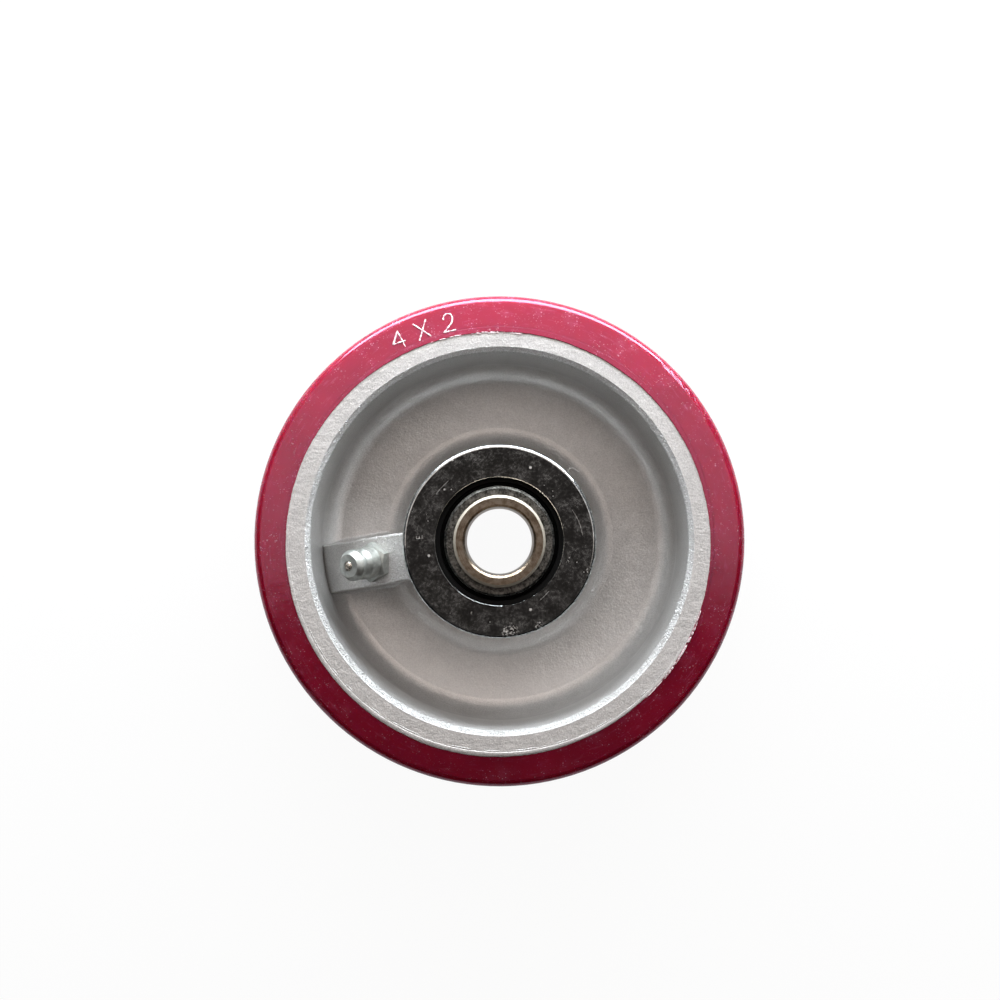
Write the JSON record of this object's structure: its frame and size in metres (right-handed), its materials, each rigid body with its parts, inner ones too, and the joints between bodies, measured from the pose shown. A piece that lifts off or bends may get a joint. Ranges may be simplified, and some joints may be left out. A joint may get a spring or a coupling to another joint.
{
  "type": "castor wheel",
  "caption": "Castor wheel: polyurethane tyre moulded on a cast centre with an open web, caged roller bearing, spanner bushing, hub caps with seals, and a grease nipple on a rib.",
  "frame": {"origin": "On the wheel's axis, at the lower end of the bushing, which is the bottom of the bounding box. The wheel lies on its side.", "axes": "+Z runs along the wheel's axis, out of the side with the grease nipple. +Y points to the top of the picture and +X to its right, so the rib with the nipple leaves the hub at 189.3 degrees from +X."},
  "size_m": [0.1016, 0.1016, 0.0556],
  "materials": {
    "tyre": "gloss",
    "silver_paint": "satin",
    "zinc_plate": "gloss",
    "black_rubber": "matte",
    "bare_steel": "satin",
    "bearing_steel": "gloss",
    "cage_steel": "satin"
  },
  "bodies": {
    "bushing": {"spanner_bushing": "bare_steel", "front_collar": "bearing_steel", "back_collar": "bearing_steel"},
    "wheel": {"tyre": "tyre", "wheel_core": "silver_paint", "front_retainer": "zinc_plate", "back_retainer": "zinc_plate", "front_seal": "black_rubber", "back_seal": "black_rubber", "nipple_body": "zinc_plate", "nipple_spring": "bearing_steel"},
    "cage": {"front_cage_ring": "cage_steel", "back_cage_ring": "cage_steel", "cage_bar_1": "cage_steel", "cage_bar_2": "cage_steel", "cage_bar_3": "cage_steel", "cage_bar_4": "cage_steel", "cage_bar_5": "cage_steel", "cage_bar_6": "cage_steel", "cage_bar_7": "cage_steel", "cage_bar_8": "cage_steel", "cage_bar_9": "cage_steel", "cage_bar_10": "cage_steel"},
    "rolling_1": {"roller_1": "bearing_steel"},
    "rolling_2": {"roller_2": "bearing_steel"},
    "rolling_3": {"roller_3": "bearing_steel"},
    "rolling_4": {"roller_4": "bearing_steel"},
    "rolling_5": {"roller_5": "bearing_steel"},
    "rolling_6": {"roller_6": "bearing_steel"},
    "rolling_7": {"roller_7": "bearing_steel"},
    "rolling_8": {"roller_8": "bearing_steel"},
    "rolling_9": {"roller_9": "bearing_steel"},
    "rolling_10": {"roller_10": "bearing_steel"},
    "ball": {"nipple_ball": "bearing_steel"}
  },
  "joints": [
    {"name": "wheel_spin", "type": "hinge", "parent": "bushing", "child": "wheel", "pos_m": [0, 0, 0.02778], "axis": [0, 0, 1], "continuous": true},
    {"name": "cage_orbit", "type": "hinge", "parent": "bushing", "child": "cage", "pos_m": [0, 0, 0.02778], "axis": [0, 0, 1], "continuous": true},
    {"name": "roller_spin_1", "type": "hinge", "parent": "cage", "child": "rolling_1", "pos_m": [0.00995, 0.00723, 0.02778], "axis": [0, 0, 1], "continuous": true},
    {"name": "roller_spin_2", "type": "hinge", "parent": "cage", "child": "rolling_2", "pos_m": [0.0038, 0.0117, 0.02778], "axis": [0, 0, 1], "continuous": true},
    {"name": "roller_spin_3", "type": "hinge", "parent": "cage", "child": "rolling_3", "pos_m": [-0.0038, 0.0117, 0.02778], "axis": [0, 0, 1], "continuous": true},
    {"name": "roller_spin_4", "type": "hinge", "parent": "cage", "child": "rolling_4", "pos_m": [-0.00995, 0.00723, 0.02778], "axis": [0, 0, 1], "continuous": true},
    {"name": "roller_spin_5", "type": "hinge", "parent": "cage", "child": "rolling_5", "pos_m": [-0.0123, 0, 0.02778], "axis": [0, 0, 1], "continuous": true},
    {"name": "roller_spin_6", "type": "hinge", "parent": "cage", "child": "rolling_6", "pos_m": [-0.00995, -0.00723, 0.02778], "axis": [0, 0, 1], "continuous": true},
    {"name": "roller_spin_7", "type": "hinge", "parent": "cage", "child": "rolling_7", "pos_m": [-0.0038, -0.0117, 0.02778], "axis": [0, 0, 1], "continuous": true},
    {"name": "roller_spin_8", "type": "hinge", "parent": "cage", "child": "rolling_8", "pos_m": [0.0038, -0.0117, 0.02778], "axis": [0, 0, 1], "continuous": true},
    {"name": "roller_spin_9", "type": "hinge", "parent": "cage", "child": "rolling_9", "pos_m": [0.00995, -0.00723, 0.02778], "axis": [0, 0, 1], "continuous": true},
    {"name": "roller_spin_10", "type": "hinge", "parent": "cage", "child": "rolling_10", "pos_m": [0.0123, 0, 0.02778], "axis": [0, 0, 1], "continuous": true},
    {"name": "ball_press", "type": "slide", "parent": "wheel", "child": "ball", "axis": [0.6076, 0.0995, -0.788], "range_m": [0, 0.001], "stiffness_N_per_m": 400, "springref_m": -0.002, "deforming": ["nipple_spring"]}
  ],
  "couplings": [
    {"joint": "cage_orbit", "follows": "wheel_spin", "ratio": 0.61288},
    {"joint": "roller_spin_1", "follows": "wheel_spin", "ratio": 2.1018},
    {"joint": "roller_spin_2", "follows": "wheel_spin", "ratio": 2.1018},
    {"joint": "roller_spin_3", "follows": "wheel_spin", "ratio": 2.1018},
    {"joint": "roller_spin_4", "follows": "wheel_spin", "ratio": 2.1018},
    {"joint": "roller_spin_5", "follows": "wheel_spin", "ratio": 2.1018},
    {"joint": "roller_spin_6", "follows": "wheel_spin", "ratio": 2.1018},
    {"joint": "roller_spin_7", "follows": "wheel_spin", "ratio": 2.1018},
    {"joint": "roller_spin_8", "follows": "wheel_spin", "ratio": 2.1018},
    {"joint": "roller_spin_9", "follows": "wheel_spin", "ratio": 2.1018},
    {"joint": "roller_spin_10", "follows": "wheel_spin", "ratio": 2.1018}
  ]
}
